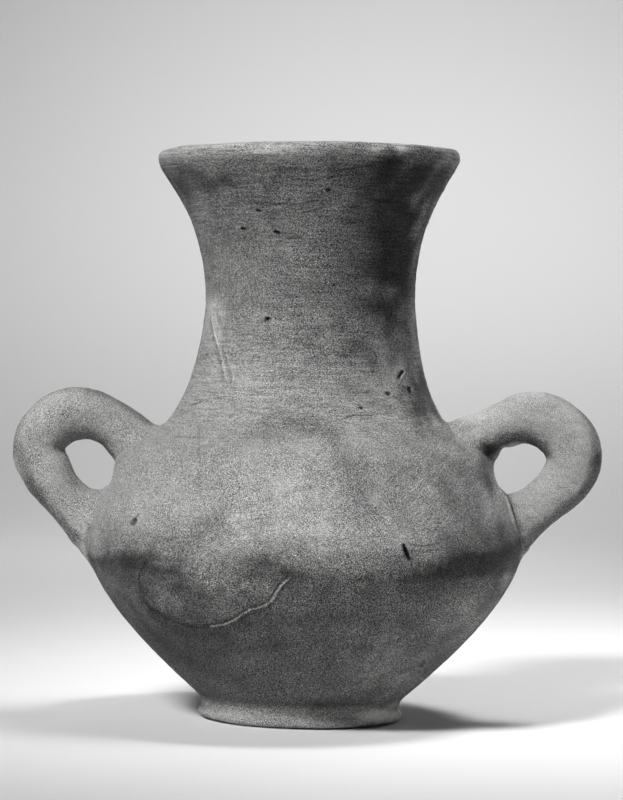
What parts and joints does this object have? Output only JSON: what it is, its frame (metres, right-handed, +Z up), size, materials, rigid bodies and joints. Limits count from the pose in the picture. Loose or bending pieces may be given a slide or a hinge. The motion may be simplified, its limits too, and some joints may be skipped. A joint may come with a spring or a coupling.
{
  "type": "vase",
  "caption": "Hand-made fired clay vase with a tall flaring neck, rounded hollow body, low foot and loop handles at the shoulder, for holding liquid or dry goods.",
  "frame": {"origin": "centre of the flat underside of the foot, on the surface that the vase stands on", "axes": "+Z up along the turning axis, +X towards the higher handle, -Y the side that the picture shows"},
  "size_m": [0.1556, 0.1138, 0.1499],
  "materials": {
    "fired_clay": "unglazed, matt and slightly gritty, worn and dusty"
  },
  "bodies": {
    "root": {"vase": "fired_clay"}
  },
  "joints": []
}
